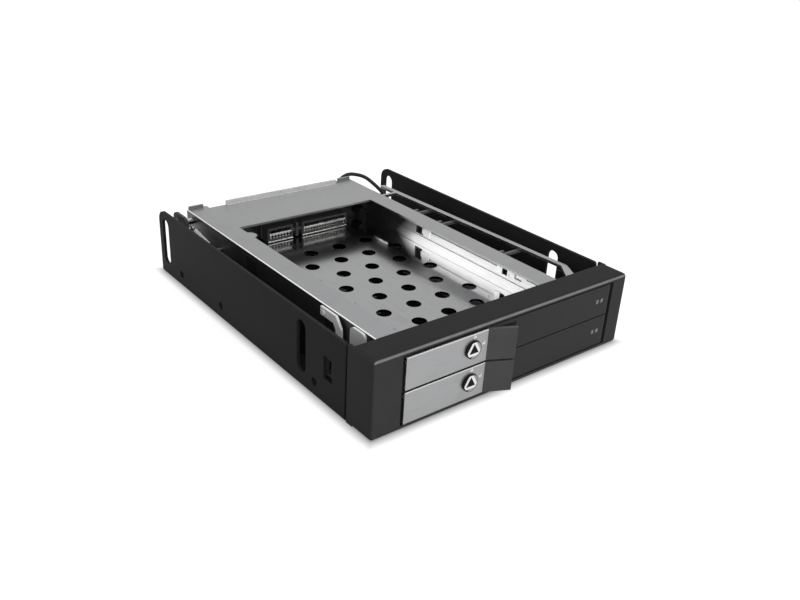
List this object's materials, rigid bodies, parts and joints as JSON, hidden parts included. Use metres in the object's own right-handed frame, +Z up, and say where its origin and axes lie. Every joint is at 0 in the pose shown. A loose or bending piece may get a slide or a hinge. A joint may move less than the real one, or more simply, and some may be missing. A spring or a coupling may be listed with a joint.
{
  "type": "hot swap drive cage",
  "caption": "Low steel cage for stacked small drives behind hinged front doors with handle levers and locks, in slotted side brackets, with a backplane at its rear.",
  "frame": {"origin": "middle of the underside of the pan, halfway between the bezel's face and the rear ends of the side brackets", "axes": "+X to the right seen from the front, +Y from the bezel to the rear, +Z up"},
  "size_m": [0.1016, 0.1354, 0.025],
  "materials": {
    "pan_black": "satin",
    "bezel_black": "fine grain",
    "door_black": "fine grain",
    "cage_steel": "bright rolled",
    "shelf_steel": "polished",
    "cover_steel": "brushed",
    "fastener_steel": "plated",
    "spring_steel": "bright",
    "bar_steel": "plated",
    "ear_black": "satin",
    "board_laminate": "dark mask",
    "capacitor_can": "dark sleeve",
    "chip_black": "matte",
    "connector_black": "matte",
    "plug_white": "matte",
    "cable_black": "matte",
    "lamp_clear": "clear",
    "window_clear": "clear",
    "fin_grey": "satin",
    "handle_silver": "satin",
    "lock_metal": "satin",
    "contact_gold": "plated"
  },
  "bodies": {
    "cage": {"backplane_board": "board_laminate", "backplane_capacitors": "capacitor_can", "backplane_chips": "chip_black", "backplane_screws": "fastener_steel", "bezel_frame": "bezel_black", "cable_front_plug": "plug_white", "cable_rear_plug": "plug_white", "cable_sockets": "connector_black", "chassis_pan": "pan_black", "door_hinge_pin": "fastener_steel", "ear_rivet": "fastener_steel", "ejector_guides": "connector_black", "indicator_lamps": "lamp_clear", "lamp_holders": "connector_black", "latch_keeper": "spring_steel", "latch_link": "spring_steel", "left_cage_rail": "cage_steel", "light_board": "board_laminate", "light_board_spacers": "fastener_steel", "light_cable": "cable_black", "lower_data_port": "connector_black", "lower_drive_socket": "connector_black", "lower_socket_contacts": "contact_gold", "lower_socket_shields": "spring_steel", "middle_shelf": "shelf_steel", "power_port": "connector_black", "rail_screws": "fastener_steel", "rear_cover_plate": "cover_steel", "rear_ear": "ear_black", "right_cage_rail": "cage_steel", "side_spring": "spring_steel", "spring_pegs": "fastener_steel", "upper_data_port": "connector_black", "upper_drive_socket": "connector_black", "upper_socket_contacts": "contact_gold", "upper_socket_shields": "spring_steel"},
    "lower_door_leaf": {"lower_door": "door_black", "lower_light_windows": "window_clear", "lower_lever_pin": "fastener_steel"},
    "lower_handle": {"lower_lever_carrier": "door_black", "lower_handle_cover": "handle_silver", "lower_grip_fin": "fin_grey", "lower_lever_spring": "spring_steel"},
    "lower_lock": {"lower_lock_knob": "lock_metal", "lower_lock_cam": "fastener_steel"},
    "lower_ejector": {"lower_ejector_bar": "bar_steel"},
    "upper_door_leaf": {"upper_door": "door_black", "upper_light_windows": "window_clear", "upper_lever_pin": "fastener_steel"},
    "upper_handle": {"upper_lever_carrier": "door_black", "upper_handle_cover": "handle_silver", "upper_grip_fin": "fin_grey", "upper_lever_spring": "spring_steel"},
    "upper_lock": {"upper_lock_knob": "lock_metal", "upper_lock_cam": "fastener_steel"},
    "upper_ejector": {"upper_ejector_bar": "bar_steel"}
  },
  "joints": [
    {"name": "lower_door_hinge", "type": "hinge", "parent": "cage", "child": "lower_door_leaf", "pos_m": [0.0423, -0.0631, 0.0071], "axis": [0, 0, 1], "range_deg": [0, 90]},
    {"name": "lower_handle_pivot", "type": "hinge", "parent": "lower_door_leaf", "child": "lower_handle", "pos_m": [-0.0388, -0.0635, 0.0071], "axis": [0, 0, -1], "range_deg": [0, 22], "stiffness_Nm_per_rad": 0.02, "springref_deg": -28.65},
    {"name": "lower_lock_turn", "type": "hinge", "parent": "lower_handle", "child": "lower_lock", "pos_m": [-0.0165, -0.065, 0.00735], "axis": [0, 1, 0], "range_deg": [0, 90]},
    {"name": "lower_ejector_slide", "type": "slide", "parent": "cage", "child": "lower_ejector", "axis": [0, -1, 0], "range_m": [0, 0.007]},
    {"name": "upper_door_hinge", "type": "hinge", "parent": "cage", "child": "upper_door_leaf", "pos_m": [0.0423, -0.0631, 0.0179], "axis": [0, 0, 1], "range_deg": [0, 90]},
    {"name": "upper_handle_pivot", "type": "hinge", "parent": "upper_door_leaf", "child": "upper_handle", "pos_m": [-0.0388, -0.0635, 0.0179], "axis": [0, 0, -1], "range_deg": [0, 22], "stiffness_Nm_per_rad": 0.02, "springref_deg": -28.65},
    {"name": "upper_lock_turn", "type": "hinge", "parent": "upper_handle", "child": "upper_lock", "pos_m": [-0.0165, -0.065, 0.01815], "axis": [0, 1, 0], "range_deg": [0, 90]},
    {"name": "upper_ejector_slide", "type": "slide", "parent": "cage", "child": "upper_ejector", "axis": [0, -1, 0], "range_m": [0, 0.007]}
  ],
  "couplings": [
    {"joint": "lower_ejector_slide", "follows": "lower_door_hinge", "m_per_rad": 0.0044563},
    {"joint": "upper_ejector_slide", "follows": "upper_door_hinge", "m_per_rad": 0.0044563}
  ]
}
